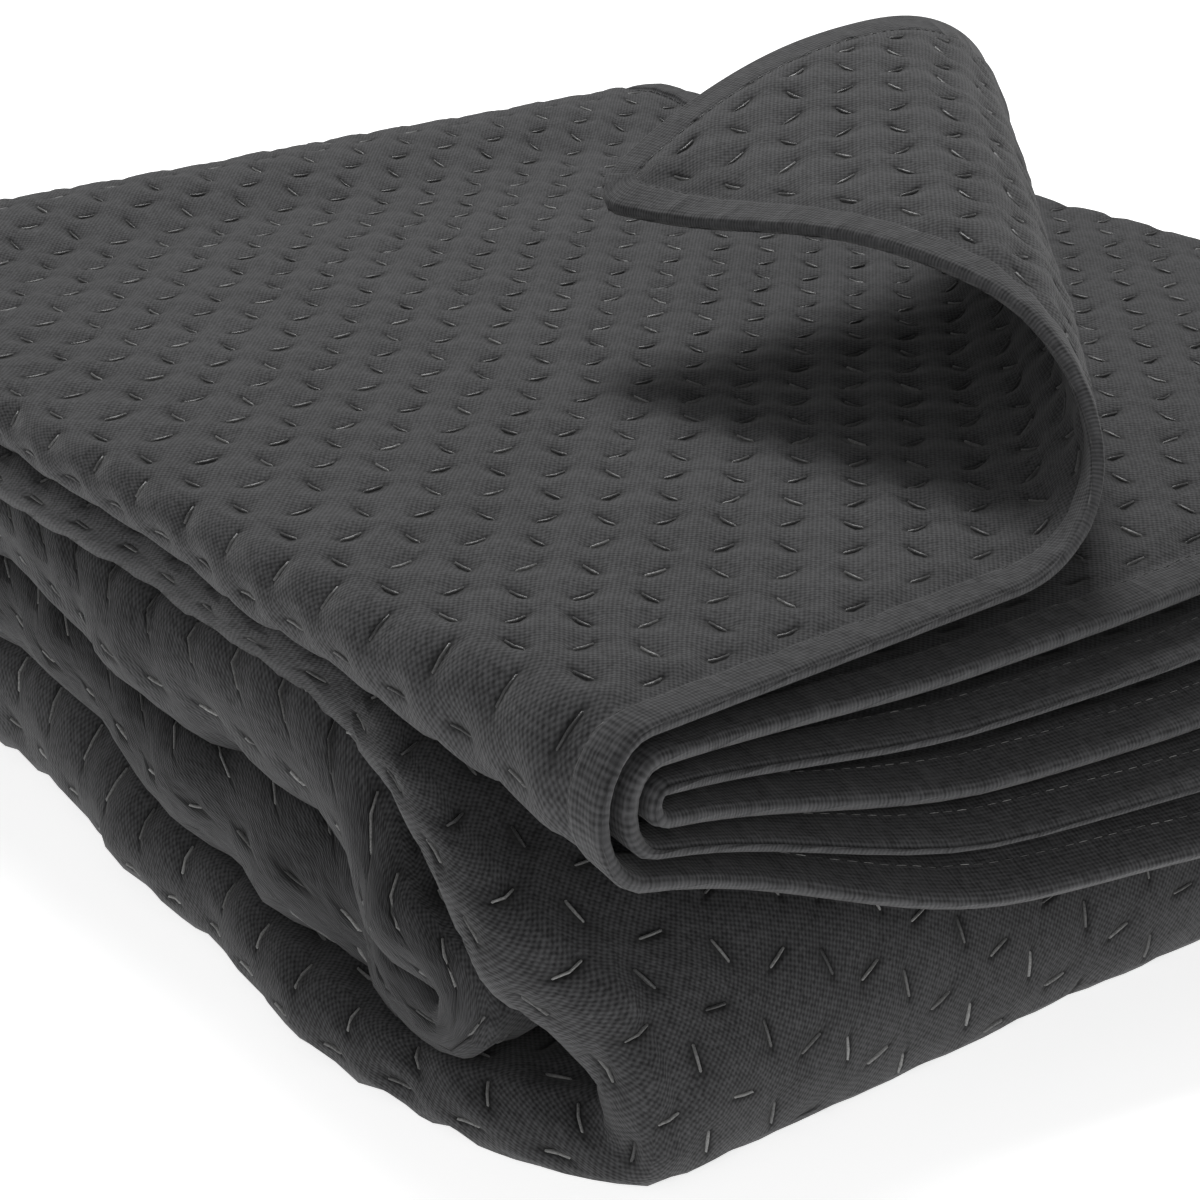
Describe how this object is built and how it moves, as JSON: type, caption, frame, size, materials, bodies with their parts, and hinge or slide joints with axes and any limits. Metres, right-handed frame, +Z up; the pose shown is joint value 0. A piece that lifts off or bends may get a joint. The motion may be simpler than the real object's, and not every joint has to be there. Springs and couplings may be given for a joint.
{
  "type": "folded bedspread",
  "caption": "Charcoal quilted bedspread with short grey stitches, folded into a close stack, one front corner of its top layer turned back",
  "frame": {"origin": "on the resting surface, under the middle of the folded stack's bounding box", "axes": "+X along the hemmed front from the folded left side to the open right side, +Y back along the folded left side (the longest way), +Z up"},
  "size_m": [0.4526, 0.5644, 0.2094],
  "materials": {
    "cloth": "matte"
  },
  "bodies": {
    "root": {"bedspread": "cloth"}
  },
  "joints": []
}
